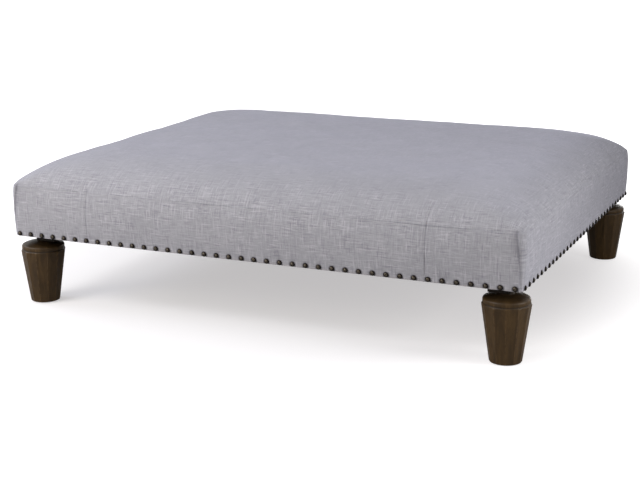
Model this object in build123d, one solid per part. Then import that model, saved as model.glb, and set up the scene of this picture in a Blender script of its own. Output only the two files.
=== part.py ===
from build123d import *
import math
import os

# Padded block: size along the bottom edge of the cover, and its height above the floor
body_length = 1524.0
body_width = 1219.2
cover_bottom = 203.0
corner_radius = 12.0
leg_axis_from_rail = 13.0

# Cloth, fibre wrap and the pillow top
cloth = 1.5
hem_width = 32.0
panel_seam_from_end = 254.0
side_batting = 4.0
top_batting = 14.0
side_height = 150.0
side_flare = 6.0
crease_depth = 2.0
pillow_rise = 78.0
shoulder_reach = 210.0
shoulder_corner = 110.0
crown_rise = 10.0
wall_level_shares = (0.3, 0.6, 0.9)
shoulder_steps = 7
crown_level_shares = (0.35, 0.7)
widest_corner_share = 0.9

# Timber frame and deck
rail_thickness = 38.0
deck_above_crease = 3.5
cross_rail_height = 89.0
cross_rail_count = 3
deck_thickness = 12.0
block_width = 60.0
block_drop = 21.5

# Dust cover under the frame
dust_cloth = 0.8
dust_cover_inset = 14.0

# Legs: a turned shoulder and dome over a taper with flats
facet_count = 12
foot_radius = 42.8
widest_radius = 65.0
foot_bevel = 3.0
facet_top = 157.5
facet_chamfer = 4.0
shoulder_radius = 61.5
shoulder_edge = 3.0
shoulder_top = 172.0
neck_radius = 18.0
dome_rise = 9.0
dome_middle_radius = 42.0
dome_middle_rise = 5.5

# Glides, hanger bolts and threaded inserts
glide_radius = 17.0
glide_thickness = 4.0
glide_proud = 2.0
glide_pin_radius = 2.0
glide_pin_length = 16.0
bolt_radius = 4.0
bolt_in_leg = 50.0
bolt_in_block = 40.0
bolt_point = 6.0
insert_radius = 6.5
insert_length = 25.0

# Wood screws: shank radius, head radius and head height, with a length for each place
screw_radius = 2.5
screw_head_radius = 5.0
screw_head_height = 3.0
screw_point = 6.0
frame_screw_length = 90.0
block_screw_length = 75.0
deck_screw_length = 35.0
frame_screw_height_shares = (0.25, 0.75)
block_screw_height_shares = (0.35, 0.62)
cross_screw_height_shares = (0.5,)
deck_screw_width_shares = (0,)

# Upholstery nails along the bottom edge of the cover
nail_pitch = 38.1
nail_height = 8.0
nail_head_radius = 7.15
nail_head_rise = 4.2
nail_crown_share = 0.55
nail_shank_radius = 1.2
nail_shank_sides = 4
nail_shank_length = 13.0

# Staples that hold the hem and the dust cover
staple_width = 12.0
staple_leg = 9.0
staple_wire = 0.9
hem_staple_pitch = 240.0
dust_staple_pitch = 300.0
dust_staple_inset = 30.0

# Flat sides round fasteners, bolts with their inserts, glides and a leg's dome, and at each corner of the pad
fastener_sides = 6
bolt_sides = 8
glide_sides = 12
dome_sides = 24
corner_sides = 5

# Blunt point of every screw, bolt and nail
tip_radius = 0.4

# Clearances: soft pieces stand this far apart, and screws and pins sit this loose in their holes
soft_gap = 0.3
hole_gap = 0.1
overrun = 5.0

# Sizes worked out from the ones above
frame_inset = cloth + soft_gap + side_batting
frame_length = body_length - 2 * frame_inset
frame_width = body_width - 2 * frame_inset
frame_bottom = cover_bottom + cloth
crease_z = cover_bottom + side_height
deck_top = crease_z + deck_above_crease
frame_top = deck_top - deck_thickness
rail_height = frame_top - frame_bottom
side_rail_x = (frame_length - rail_thickness) / 2
long_rail_y = (frame_width - rail_thickness) / 2
inner_length = frame_length - 2 * rail_thickness
inner_width = frame_width - 2 * rail_thickness
block_bottom = frame_bottom - block_drop
leg_x = inner_length / 2 - leg_axis_from_rail
leg_y = inner_width / 2 - leg_axis_from_rail
cross_rail_pitch = inner_length / (cross_rail_count + 1)
seam_x = body_length / 2 - panel_seam_from_end
dust_cover_bottom = cover_bottom - staple_wire - dust_cloth
corners = {
    "front_left": (-1, -1),
    "front_right": (1, -1),
    "back_left": (-1, 1),
    "back_right": (1, 1),
}


def block(length, width, low, high, x=0, y=0):
    """A rectangular solid centred on x, y, from height low to height high."""
    return Pos(x, y, (low + high) / 2) * Box(length, width, high - low)


def skin(rings):
    """A solid with flat sides through level rings of points, closed at the first and the last."""
    faces = [Face(Wire.make_polygon(ring)) for ring in (rings[0], rings[-1])]
    for low, high in zip(rings, rings[1:]):
        for i in range(len(low)):
            faces.append(Face(Wire.make_polygon([low[i - 1], low[i], high[i], high[i - 1]])))
    return Solid(Shell(faces))


def outline(length, width, radius, z):
    """The points of a rectangle at height z, its corners rounded with few short sides."""
    points = []
    for quarter, (x_side, y_side) in enumerate(((1, 1), (-1, 1), (-1, -1), (1, -1))):
        for step in range(corner_sides + 1):
            turn = math.pi / 2 * (quarter + step / corner_sides)
            x = x_side * (length / 2 - radius) + radius * math.cos(turn)
            y = y_side * (width / 2 - radius) + radius * math.sin(turn)
            points.append((x, y, z))
    return points


def turned(points):
    """A solid turned about Z from an outline of radius, height points."""
    return revolve(make_face(Plane.XZ * Polyline(*points, close=True)), Axis.Z)


def polygon(radius, sides, z):
    """The corners of a regular polygon at height z, one flat side towards +X."""
    turns = [2 * math.pi * (i + 1 / 2) / sides for i in range(sides)]
    return [(radius * math.cos(turn), radius * math.sin(turn), z) for turn in turns]


def spindle(levels, sides):
    """A turned piece drawn with flat sides, from its height, radius levels: a repeated height is a step."""
    runs = [[levels[0]]]
    for level in levels[1:]:
        if level[0] == runs[-1][-1][0]:
            runs.append([])
        runs[-1].append(level)
    solids = [skin([polygon(radius, sides, z) for z, radius in run]) for run in runs if len(run) > 1]
    return solids[0] + solids[1:] if solids[1:] else solids[0]


def wall_offset(z):
    """How far the cover's side stands out at height z: pulled in at the nails, and again at the crease."""
    share = (z - cover_bottom) / side_height
    pull = max(0, share - wall_level_shares[-1]) / (1 - wall_level_shares[-1])
    return side_flare * (1 - (1 - share) ** 2) - crease_depth * pull


def side_wall(inset, bottom):
    """The padded side, from its bottom to the crease."""
    levels = [bottom] + [cover_bottom + side_height * share for share in (*wall_level_shares, 1)]
    sections = []
    for z in levels:
        grow = 2 * (wall_offset(z) - inset)
        sections.append(outline(body_length + grow, body_width + grow, corner_radius - inset, z))
    return skin(sections)


def pillow(length, width, bottom, rise, radius):
    """The soft top: a rounded shoulder that runs into a low crown, through level outlines."""
    half = width / 2
    insets = [shoulder_reach * (1 - math.cos(math.pi / 2 * i / shoulder_steps)) for i in range(shoulder_steps + 1)]
    insets += [shoulder_reach + (half - shoulder_reach) * share for share in crown_level_shares]
    sections = []
    for inset in insets:
        along = min(inset / shoulder_reach, 1)
        swell = math.sqrt(1 - (1 - along) ** 2)
        z = bottom + rise * swell + crown_rise * (1 - (1 - inset / half) ** 2)
        corner = min(radius + shoulder_corner * swell, widest_corner_share * (half - inset))
        sections.append(outline(length - 2 * inset, width - 2 * inset, corner, z))
    return skin(sections)


def pad_form(inset, bottom):
    """The whole padded block, drawn in by inset all round, with a flat underside at height bottom."""
    grow = 2 * (wall_offset(crease_z) - inset)
    top = pillow(body_length + grow, body_width + grow, crease_z, pillow_rise - inset, corner_radius - inset)
    return side_wall(inset, bottom) + top


def foam_form(gap):
    """The foam's outer form with a gap round it: it stands on the deck, flush with the frame."""
    rise = crease_z + pillow_rise - top_batting - cloth - soft_gap - deck_top
    return pillow(frame_length + 2 * gap, frame_width + 2 * gap, deck_top, rise + gap, corner_radius)


def make_foam():
    """The foam core, with its crown."""
    return foam_form(0)


def make_batting():
    """Fibre wrap over the foam and down the outsides of the rails, open underneath."""
    wrap = pad_form(cloth + soft_gap, frame_bottom)
    wrap -= block(frame_length, frame_width, frame_bottom - overrun, deck_top)
    return wrap - foam_form(soft_gap)


def make_cover():
    """The sewn cloth: a thin shell with a hem turned under the rails, cut into three panels at its seams."""
    shell = pad_form(0, cover_bottom) - pad_form(cloth, frame_bottom)
    opening = (frame_length - 2 * hem_width, frame_width - 2 * hem_width)
    shell -= block(*opening, cover_bottom - overrun, frame_bottom + overrun)
    high = crease_z + pillow_rise + crown_rise + overrun
    reach = body_length / 2 + side_flare + overrun
    centre = block(2 * seam_x, body_width + 2 * reach, cover_bottom, high)
    end = block(reach - seam_x, body_width + 2 * reach, cover_bottom, high, (seam_x + reach) / 2)
    return {
        "cover_centre": shell & centre,
        "cover_left_end": shell & (Rot(0, 0, 180) * end),
        "cover_right_end": shell & end,
    }


def screw_form(length, gap):
    """A countersunk wood screw that points down from its head's top at the origin, or its hole."""
    return spindle([
        (-length - gap, tip_radius),
        (screw_point - length - gap, screw_radius + gap),
        (-screw_head_height, screw_radius + gap),
        (0, screw_head_radius + gap),
    ], fastener_sides)


def fastened(pieces, spots, length):
    """Bores the pieces for screws of one length at the given planes, and returns the screws."""
    screws = [spot * screw_form(length, 0) for spot in spots]
    holes = [spot * screw_form(length, hole_gap) for spot in spots]
    for name in pieces:
        pieces[name] = pieces[name] - holes
    return Compound(children=screws)


def frame_screw_spots():
    """Screws through the long rails into the ends of the short rails."""
    spots = []
    for x_side, y_side in corners.values():
        for share in frame_screw_height_shares:
            origin = (x_side * side_rail_x, y_side * frame_width / 2, frame_bottom + rail_height * share)
            spots.append(Plane(origin, z_dir=(0, y_side, 0)))
    return spots


def cross_rail_places():
    """Where the cross rails lie along the block, with a name for each."""
    first = -(cross_rail_count - 1) / 2
    return {f"cross_rail_{i + 1}": (first + i) * cross_rail_pitch for i in range(cross_rail_count)}


def cross_screw_spots():
    """Screws through the long rails into the ends of the cross rails."""
    spots = []
    for x in cross_rail_places().values():
        for y_side in (-1, 1):
            for share in cross_screw_height_shares:
                z = frame_top - cross_rail_height + cross_rail_height * share
                spots.append(Plane((x, y_side * frame_width / 2, z), z_dir=(0, y_side, 0)))
    return spots


def block_screw_spots():
    """Screws through the rails into the corner blocks: one height from the long rail, the other from the short."""
    spots = []
    along = (block_width - leg_axis_from_rail) / 2
    low, high = (frame_bottom + rail_height * share for share in block_screw_height_shares)
    for x_side, y_side in corners.values():
        x, y = x_side * (leg_x - along), y_side * (leg_y - along)
        spots.append(Plane((x, y_side * frame_width / 2, high), z_dir=(0, y_side, 0)))
        spots.append(Plane((x_side * frame_length / 2, y, low), z_dir=(x_side, 0, 0)))
    return spots


def deck_screw_spots():
    """Screws down through the deck into the rails and the cross rails."""
    spots = []
    places = [-side_rail_x, *cross_rail_places().values(), side_rail_x]
    for x in places:
        for y in (-long_rail_y, *(frame_width * share for share in deck_screw_width_shares), long_rail_y):
            spots.append(Plane((x, y, deck_top), z_dir=(0, 0, 1)))
    return spots


def make_timber():
    """The rails, cross rails, corner blocks and deck before they are bored."""
    timber = {}
    for name, side in (("rail_front", -1), ("rail_back", 1)):
        timber[name] = block(frame_length, rail_thickness, frame_bottom, frame_top, 0, side * long_rail_y)
    for name, side in (("rail_left", -1), ("rail_right", 1)):
        timber[name] = block(rail_thickness, inner_width, frame_bottom, frame_top, side * side_rail_x)
    for name, x in cross_rail_places().items():
        timber[name] = block(rail_thickness, inner_width, frame_top - cross_rail_height, frame_top, x)
    for corner, (x_side, y_side) in corners.items():
        x = x_side * (inner_length - block_width) / 2
        y = y_side * (inner_width - block_width) / 2
        timber["corner_block_" + corner] = block(block_width, block_width, block_bottom, frame_top, x, y)
    timber["deck"] = block(frame_length, frame_width, frame_top, deck_top)
    return timber


def insert_form(gap):
    """The outside of a threaded insert, or its hole: it stands on a corner block's underside."""
    radius = insert_radius + gap
    return spindle([(block_bottom - gap, radius), (block_bottom + insert_length, radius)], bolt_sides)


def bolt_form(gap):
    """A hanger bolt: its point and wood thread in the leg, its machine thread in the insert, or its hole."""
    low = block_bottom - bolt_in_leg
    radius = bolt_radius + gap
    return spindle([
        (low - gap, tip_radius),
        (low + bolt_point, radius),
        (block_bottom + bolt_in_block + gap, radius),
    ], bolt_sides)


def make_leg():
    """One leg on its axis: a dome and shoulder turned over a taper, which is then cut with flats."""
    bottom = glide_proud
    taper = spindle([
        (bottom, foot_radius - foot_bevel),
        (bottom + foot_bevel, foot_radius),
        (facet_top, widest_radius),
    ], facet_count)
    envelope = turned([
        (0, bottom),
        (widest_radius, bottom),
        (widest_radius, facet_top - facet_chamfer),
        (shoulder_radius, facet_top),
        (0, facet_top),
    ])
    shoulder = turned([
        (0, facet_top),
        (shoulder_radius, facet_top),
        (shoulder_radius, shoulder_top - shoulder_edge),
        (shoulder_radius - shoulder_edge, shoulder_top),
        (0, shoulder_top),
    ])
    dome = spindle([
        (shoulder_top, shoulder_radius - shoulder_edge),
        (shoulder_top + dome_middle_rise, dome_middle_radius),
        (shoulder_top + dome_rise, neck_radius),
        (block_bottom, neck_radius),
    ], dome_sides)
    leg = (taper & envelope) + shoulder + dome
    return leg - bolt_form(hole_gap) - glide_form(hole_gap)


def glide_form(gap):
    """A glide with its pin, or the seat that it leaves in the foot."""
    return spindle([
        (-gap, glide_radius + gap),
        (glide_thickness, glide_radius + gap),
        (glide_thickness, glide_pin_radius + gap),
        (glide_thickness + glide_pin_length + gap, glide_pin_radius + gap),
    ], glide_sides)


def make_dust_cover():
    """Thin cloth under the frame, cut out round the corner blocks."""
    length = body_length - 2 * dust_cover_inset
    width = body_width - 2 * dust_cover_inset
    sheet = block(length, width, dust_cover_bottom, dust_cover_bottom + dust_cloth)
    cutout = block_width + 2 * soft_gap
    for x_side, y_side in corners.values():
        x = x_side * (inner_length - block_width) / 2
        y = y_side * (inner_width - block_width) / 2
        sheet -= block(cutout, cutout, cover_bottom - overrun, cover_bottom + overrun, x, y)
    return sheet


def make_nail():
    """One nail with its head's underside at the origin, its head up and its shank down."""
    head = [(0, nail_head_radius), (nail_head_rise, nail_head_radius * nail_crown_share)]
    shank = [(-nail_shank_length, tip_radius), (0, nail_shank_radius)]
    return spindle(head, fastener_sides) + spindle(shank, nail_shank_sides)


def spread(length, pitch):
    """Even places along a length, half a step in from each end."""
    count = max(1, round(length / pitch))
    return [(i + 1 / 2 - count / 2) * length / count for i in range(count)]


def make_nail_rows():
    """Four rows of nails round the bottom edge of the cover."""
    nail = make_nail()
    z = cover_bottom + nail_height
    stand_out = wall_offset(z + nail_head_radius)
    out_x = body_length / 2 + stand_out
    out_y = body_width / 2 + stand_out
    along_x = spread(body_length, nail_pitch)
    along_y = spread(body_width, nail_pitch)
    rows = {
        "nails_front": [Plane((x, -out_y, z), z_dir=(0, -1, 0)) for x in along_x],
        "nails_back": [Plane((x, out_y, z), z_dir=(0, 1, 0)) for x in along_x],
        "nails_left": [Plane((-out_x, y, z), z_dir=(-1, 0, 0)) for y in along_y],
        "nails_right": [Plane((out_x, y, z), z_dir=(1, 0, 0)) for y in along_y],
    }
    return {name: Compound(children=[spot * nail for spot in spots]) for name, spots in rows.items()}


def make_staple():
    """One staple, its crown's underside at the origin and its legs up."""
    wire = staple_wire
    crown = Pos(0, 0, -wire / 2) * Box(staple_width, wire, wire)
    leg = Box(wire, wire, staple_leg, align=(Align.CENTER, Align.CENTER, Align.MIN))
    reach = (staple_width - wire) / 2
    return crown + Pos(reach, 0, 0) * leg + Pos(-reach, 0, 0) * leg


def staple_ring(length, width, pitch, z):
    """Staples round a rectangle, each along its edge."""
    staple = make_staple()
    ring = []
    for x in spread(length, pitch):
        for side in (-1, 1):
            ring.append(Pos(x, side * width / 2, z) * staple)
    for y in spread(width, pitch):
        for side in (-1, 1):
            ring.append(Pos(side * length / 2, y, z) * Rot(0, 0, 90) * staple)
    return Compound(children=ring)


def make_all():
    """Every piece by name, in its place."""
    parts = make_cover()
    parts["batting"] = make_batting()
    parts["foam_core"] = make_foam()
    timber = make_timber()
    parts["frame_screws"] = fastened(timber, frame_screw_spots(), frame_screw_length)
    parts["cross_rail_screws"] = fastened(timber, cross_screw_spots(), frame_screw_length)
    parts["block_screws"] = fastened(timber, block_screw_spots(), block_screw_length)
    parts["deck_screws"] = fastened(timber, deck_screw_spots(), deck_screw_length)
    for corner, (x_side, y_side) in corners.items():
        spot = Pos(x_side * leg_x, y_side * leg_y, 0)
        timber["corner_block_" + corner] -= spot * (insert_form(hole_gap) + bolt_form(hole_gap))
        parts["leg_" + corner] = spot * make_leg()
    parts.update(timber)
    for name, piece in (
        ("glides", glide_form(0)),
        ("hanger_bolts", bolt_form(0)),
        ("threaded_inserts", insert_form(0) - bolt_form(hole_gap)),
    ):
        parts[name] = Compound(children=[Pos(x * leg_x, y * leg_y, 0) * piece for x, y in corners.values()])
    parts["dust_cover"] = make_dust_cover()
    parts.update(make_nail_rows())
    hem_inset = frame_inset + hem_width / 2
    parts["hem_staples"] = staple_ring(
        body_length - 2 * hem_inset, body_width - 2 * hem_inset, hem_staple_pitch, cover_bottom
    )
    parts["dust_cover_staples"] = staple_ring(
        body_length - 2 * dust_staple_inset,
        body_width - 2 * dust_staple_inset,
        dust_staple_pitch,
        dust_cover_bottom,
    )
    return parts


os.makedirs("parts", exist_ok=True)
for name, piece in make_all().items():
    export_step(piece, f"parts/{name}.step")
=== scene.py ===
import math
import bpy
import numpy as np
from mathutils import Matrix, Vector


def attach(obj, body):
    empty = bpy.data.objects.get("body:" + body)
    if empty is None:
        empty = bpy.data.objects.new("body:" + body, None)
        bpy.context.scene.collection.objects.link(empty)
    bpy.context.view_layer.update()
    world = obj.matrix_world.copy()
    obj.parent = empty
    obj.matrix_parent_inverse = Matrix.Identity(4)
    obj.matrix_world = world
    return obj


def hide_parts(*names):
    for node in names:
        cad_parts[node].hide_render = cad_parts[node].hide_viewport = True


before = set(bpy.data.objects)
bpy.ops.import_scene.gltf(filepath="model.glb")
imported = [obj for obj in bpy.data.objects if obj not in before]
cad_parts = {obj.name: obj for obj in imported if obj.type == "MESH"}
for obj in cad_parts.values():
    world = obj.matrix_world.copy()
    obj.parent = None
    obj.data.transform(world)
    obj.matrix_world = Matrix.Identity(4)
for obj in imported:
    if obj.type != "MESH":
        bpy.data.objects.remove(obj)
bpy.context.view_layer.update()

# Sizes in millimetres, as the timber frame and the cover are drawn; a mesh is made in metres at the end
METRE = 0.001
body_length, body_width = 1524.0, 1219.2
half_length, half_width = body_length / 2, body_width / 2
cover_bottom, side_height = 203.0, 150.0
crease_height = cover_bottom + side_height
# The padded side leans out, bellies a little and is drawn in at the crease
side_flare, side_belly, crease_depth = 5.4, 0.4, 2.6
fold_radius, hem_radius = 18.0, 3.0
# The pillow rises over its shoulder, whose corners grow rounder towards the top, and the crown tops it
pillow_rise, crown_rise = 78.0, 10.0
shoulder_reach, shoulder_start = 210.0, 0.028
shoulder_corner, widest_corner_share = 110.0, 0.9
grid_step = 5.6
seam_at = 508.0
nail_pitch, nail_height, nail_stand_out = 38.1, 211.0, 1.15
nail_head_radius, nail_head_rise = 7.15, 4.2
leg_axes = {"left": -705.2, "right": 705.2, "front": -552.8, "back": 552.8}
foot_radius, widest_radius = 42.8, 65.0
flats_bottom, flats_top, lip_height = 5.0, 157.5, 158.5


def colour(red, green, blue):
    """A colour as it looks on a screen, 0 to 255, in Blender's linear values."""
    linear = [((c / 255 + 0.055) / 1.055) ** 2.4 if c > 10 else c / 255 / 12.92 for c in (red, green, blue)]
    return (*linear, 1.0)


linen_dark, linen_light, linen_sheen = colour(164, 163, 168), colour(170, 169, 174), colour(200, 201, 232)
pale_slub, dark_thread, thread_gap = colour(201, 198, 204), colour(132, 129, 138), colour(120, 118, 126)
# Painted shade for the folds and seams, and a painted shadow under the nails
fold_shade, hem_light, nail_shade = colour(92, 90, 100), colour(196, 188, 186), colour(62, 58, 61)
walnut_dark, walnut_light = colour(53, 38, 18), colour(77, 57, 30)
# The darkest walnut tone draws a dark line under each leg's lip and painted shade on its dome
walnut_worn, walnut_lip_and_dome_shade, timber_pore = colour(112, 88, 60), colour(15, 10, 7), colour(16, 11, 8)
bronze_rim_patina_and_shade, bronze_pit = colour(24, 20, 17), colour(28, 23, 20)
bronze_dull, bronze_bright = colour(62, 56, 49), colour(108, 101, 91)
dust_dark, dust_light, dust_gap = colour(30, 29, 31), colour(42, 41, 43), colour(14, 14, 15)


# -------- helpers for meshes and nodes

def new_object(name, data):
    """An object in the scene for a mesh, a lamp or a camera."""
    made = bpy.data.objects.new(name, data)
    bpy.context.scene.collection.objects.link(made)
    return made


def mesh_piece(name, points, faces, material, smooth=True):
    """A new piece from points in millimetres, with its place in its mesh."""
    mesh = bpy.data.meshes.new(name)
    mesh.from_pydata((np.asarray(points) * METRE).tolist(), [], faces)
    mesh.polygons.foreach_set("use_smooth", [smooth] * len(mesh.polygons))
    mesh.materials.append(material)
    mesh.update()
    return new_object(name, mesh)


def feed(tree, node, values):
    """Feeds a node's inputs, each from another node's socket or with a plain value."""
    for key, value in values:
        if isinstance(value, bpy.types.NodeSocket):
            tree.links.new(value, node.inputs[key])
        else:
            node.inputs[key].default_value = value
    return node


def add(tree, kind, inputs=None, **settings):
    """A new node with its settings and inputs."""
    node = tree.nodes.new(kind)
    for name, value in settings.items():
        setattr(node, name, value)
    return feed(tree, node, (inputs or {}).items())


def calc(tree, operation, *values, clamp=False):
    """One step of arithmetic."""
    node = add(tree, "ShaderNodeMath", operation=operation, use_clamp=clamp)
    return feed(tree, node, enumerate(values)).outputs[0]


def plus(tree, first, second):
    """A sum."""
    return calc(tree, "ADD", first, second)


def minus(tree, first, second):
    """A difference."""
    return calc(tree, "SUBTRACT", first, second)


def times(tree, product, *others):
    """A product of two or more values."""
    for value in others:
        product = calc(tree, "MULTIPLY", product, value)
    return product


def vector(tree, x=0.0, y=0.0, z=0.0):
    """A vector from three values."""
    return add(tree, "ShaderNodeCombineXYZ", {0: x, 1: y, 2: z}).outputs[0]


def parts_of(tree, place):
    """The three values of a vector."""
    return add(tree, "ShaderNodeSeparateXYZ", {0: place}).outputs


def stretched(tree, place, x, y, z):
    """A vector scaled on each axis."""
    return add(tree, "ShaderNodeVectorMath", {0: place, 1: (x, y, z)}, operation="MULTIPLY").outputs[0]


def ramp(tree, value, low, high, to_low=0.0, to_high=1.0):
    """A value between low and high spread smoothly over another range."""
    return add(tree, "ShaderNodeMapRange", {
        "Value": value, "From Min": low, "From Max": high, "To Min": to_low, "To Max": to_high,
    }, interpolation_type="SMOOTHSTEP").outputs["Result"]


def blend(tree, amount, first, second):
    """Two colours mixed by an amount."""
    node = add(tree, "ShaderNodeMix", data_type="RGBA", clamp_factor=True)
    return feed(tree, node, ((0, amount), (6, first), (7, second))).outputs[2]


def noise(tree, place, scale, detail=2.0, roughness=0.5, distortion=0.0):
    """A cloud pattern."""
    return add(tree, "ShaderNodeTexNoise", {
        "Vector": place, "Scale": scale, "Detail": detail, "Roughness": roughness, "Distortion": distortion,
    }).outputs["Fac"]


def mark(tree, name):
    """A value that the piece's own mesh carries."""
    return add(tree, "ShaderNodeAttribute", attribute_name=name).outputs["Fac"]


def object_place(tree):
    """The place of each point on the whole object."""
    return add(tree, "ShaderNodeTexCoord").outputs["Object"]


def new_group(name, kind, inputs, outputs):
    """An empty node group with its named sockets, and its two ends."""
    group = bpy.data.node_groups.new(name, kind)
    for label, socket, *default in inputs:
        made = group.interface.new_socket(label, in_out="INPUT", socket_type="NodeSocket" + socket)
        for value in default:
            made.default_value = value
    for label, socket in outputs:
        group.interface.new_socket(label, in_out="OUTPUT", socket_type="NodeSocket" + socket)
    return group, group.nodes.new("NodeGroupInput").outputs, group.nodes.new("NodeGroupOutput").inputs


def use_group(tree, group, **inputs):
    """Places a node group in a material with its own values."""
    node = tree.nodes.new("ShaderNodeGroup")
    node.node_tree = group
    values = {key.capitalize(): value for key, value in inputs.items()}
    return feed(tree, node, values.items()).outputs


def new_finish(name, **plain):
    """A material with its shader, and the shader's sockets that are the same all over."""
    finish = bpy.data.materials.new(name)
    finish.use_nodes = True
    tree = finish.node_tree
    shader = tree.nodes["Principled BSDF"]
    feed(tree, shader, ((key.replace("_", " "), value) for key, value in plain.items()))
    return finish, tree, shader


def relief(tree, shader, height, strength, distance):
    """Lets a height pattern catch the light."""
    bump = add(tree, "ShaderNodeBump", {"Height": height, "Strength": strength, "Distance": distance})
    tree.links.new(bump.outputs["Normal"], shader.inputs["Normal"])


# -------- patterns that several finishes share

def make_slub_group():
    """Thick and thin places along a thread: a mask for pale slubs and one for dark threads."""
    group, given, out = new_group("thread_slubs", "ShaderNodeTree", (
        ("Place", "Vector"),
        ("Along", "Float", 12.0),
        ("Across", "Float", 300.0),
        ("Threshold", "Float", 0.6),
    ), (("Pale", "Float"), ("Dark", "Float")))
    fade_width = 0.14
    parts = parts_of(group, given["Place"])
    place = vector(group, times(group, parts[0], given["Along"]), times(group, parts[1], given["Across"]))
    streak = noise(group, place, 1.0, 1.5, 0.55)
    pale_from = given["Threshold"]
    dark_from = minus(group, 1.0, pale_from)
    group.links.new(ramp(group, streak, pale_from, plus(group, pale_from, fade_width)), out["Pale"])
    group.links.new(ramp(group, streak, dark_from, minus(group, dark_from, fade_width)), out["Dark"])
    return group


def make_weave_group():
    """A plain weave: threads that pass over and under, with their height and the gaps between them."""
    group, given, out = new_group("plain_weave", "ShaderNodeTree", (
        ("Place", "Vector"),
        ("Threads", "Float", 1000.0),
    ), (("Height", "Float"), ("Gap", "Float")))
    parts = parts_of(group, given["Place"])
    waves = [calc(group, "SINE", times(group, part, given["Threads"], math.pi)) for part in parts[:2]]
    over = times(group, waves[0], waves[1], 0.5)
    lifts = [calc(group, "ABSOLUTE", wave) for wave in waves]
    warp = times(group, lifts[0], plus(group, over, 0.75))
    weft = times(group, lifts[1], minus(group, 0.75, over))
    height = calc(group, "MAXIMUM", warp, weft)
    group.links.new(height, out["Height"])
    group.links.new(ramp(group, height, 0.6, 0.25), out["Gap"])
    return group


def make_grain_group():
    """Timber: broad bands, fine streaks and open pores, all drawn out along Z."""
    group, given, out = new_group("timber_grain", "ShaderNodeTree", (
        ("Place", "Vector"),
        ("Fineness", "Float", 1.0),
    ), (("Bands", "Float"), ("Streaks", "Float"), ("Pores", "Float")))
    place = add(group, "ShaderNodeVectorMath", {0: given["Place"], "Scale": given["Fineness"]},
                operation="SCALE").outputs[0]
    group.links.new(noise(group, stretched(group, place, 60, 60, 5), 1.0, 3.0, 0.55, 0.6), out["Bands"])
    group.links.new(noise(group, stretched(group, place, 420, 420, 12), 1.0, 3.0, 0.6, 0.3), out["Streaks"])
    pores = noise(group, stretched(group, place, 1100, 1100, 45), 1.0, 1.0, 0.5)
    group.links.new(ramp(group, pores, 0.64, 0.74), out["Pores"])
    return group


def make_ageing_group():
    """Patches of wear and tarnish with fine scratches and pits."""
    group, given, out = new_group("aged_surface", "ShaderNodeTree", (
        ("Place", "Vector"),
        ("Scale", "Float", 300.0),
    ), (("Patches", "Float"), ("Pits", "Float")))
    cloud = noise(group, given["Place"], given["Scale"], 3.0, 0.6)
    group.links.new(ramp(group, cloud, 0.38, 0.62), out["Patches"])
    fine = noise(group, given["Place"], times(group, given["Scale"], 5.0), 2.0, 0.6)
    group.links.new(ramp(group, fine, 0.45, 0.7), out["Pits"])
    return group


slubs = make_slub_group()
weave = make_weave_group()
grain = make_grain_group()
ageing = make_ageing_group()


# -------- finishes

def add_slubs(tree, paint, place, shown, layers):
    """Lays slubs on the cloth in layers.

    A layer says how often slubs come along and across the threads, how rare they are, and how strong
    the pale and the dark ones are.
    """
    for along, across, threshold, pale, dark in layers:
        threads = use_group(tree, slubs, place=place, along=along, across=across, threshold=threshold)
        paint = blend(tree, times(tree, threads["Pale"], pale, shown), paint, pale_slub)
        paint = blend(tree, times(tree, threads["Dark"], dark, shown), paint, dark_thread)
    return paint


def shade_round_nails(tree):
    """A painted shadow: a soft dark ring on the cloth under each nail head, a little below its middle."""
    below_middle, outer, inner = 1.3, 12.2, 7.2
    beside = calc(tree, "WRAP", mark(tree, "edge_run"), nail_pitch * METRE, 0.0)
    beside = minus(tree, beside, nail_pitch * METRE / 2)
    above = minus(tree, parts_of(tree, object_place(tree))[2], (nail_height - below_middle) * METRE)
    apart = add(tree, "ShaderNodeVectorMath", {0: vector(tree, beside, above)}, operation="LENGTH")
    return ramp(tree, apart.outputs["Value"], outer * METRE, inner * METRE)


def make_linen():
    """Grey linen with pale and dark slubs both ways, and painted shade that darkens its folds and seams a
    little.
    """
    finish, tree, shader = new_finish(
        "grey_linen", Roughness=0.9, Sheen_Weight=0.3, Sheen_Roughness=0.5, Sheen_Tint=linen_sheen,
        Specular_IOR_Level=0.2,
    )
    cloth = add(tree, "ShaderNodeUVMap", uv_map="cloth").outputs["UV"]
    parts = parts_of(tree, cloth)
    turned = vector(tree, parts[1], parts[0])
    broad = noise(tree, cloth, 9.0, 3.0, 0.6)
    paint = blend(tree, ramp(tree, broad, 0.3, 0.7), linen_dark, linen_light)
    patchy = ramp(tree, noise(tree, cloth, 16.0, 3.0), 0.32, 0.68, 0.70, 1.35)
    weft, warp = (times(tree, mark(tree, name), patchy) for name in ("weft", "warp"))
    paint = add_slubs(tree, paint, cloth, weft, (
        (19.0, 250.0, 0.56, 0.43, 0.38),
        (38.0, 620.0, 0.55, 0.36, 0.36),
    ))
    paint = add_slubs(tree, paint, turned, warp, (
        (19.0, 230.0, 0.57, 0.41, 0.32),
        (42.0, 640.0, 0.56, 0.34, 0.32),
    ))
    threads = use_group(tree, weave, place=cloth, threads=1100.0)
    for share, shown, tone in (
        (0.30, threads["Gap"], thread_gap),
        # painted shade in the folds and seams
        (0.45, mark(tree, "painted_fold_shade"), fold_shade),
        (0.35, mark(tree, "hem"), hem_light),
        # a painted shadow ring under each nail
        (0.75, shade_round_nails(tree), nail_shade),
    ):
        paint = blend(tree, times(tree, shown, share), paint, tone)
    tree.links.new(paint, shader.inputs["Base Color"])
    fuzz = noise(tree, cloth, 900.0, 2.0, 0.6)
    relief(tree, shader, plus(tree, times(tree, threads["Height"], 0.6), fuzz), 0.35, 0.0006)
    return finish


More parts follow.
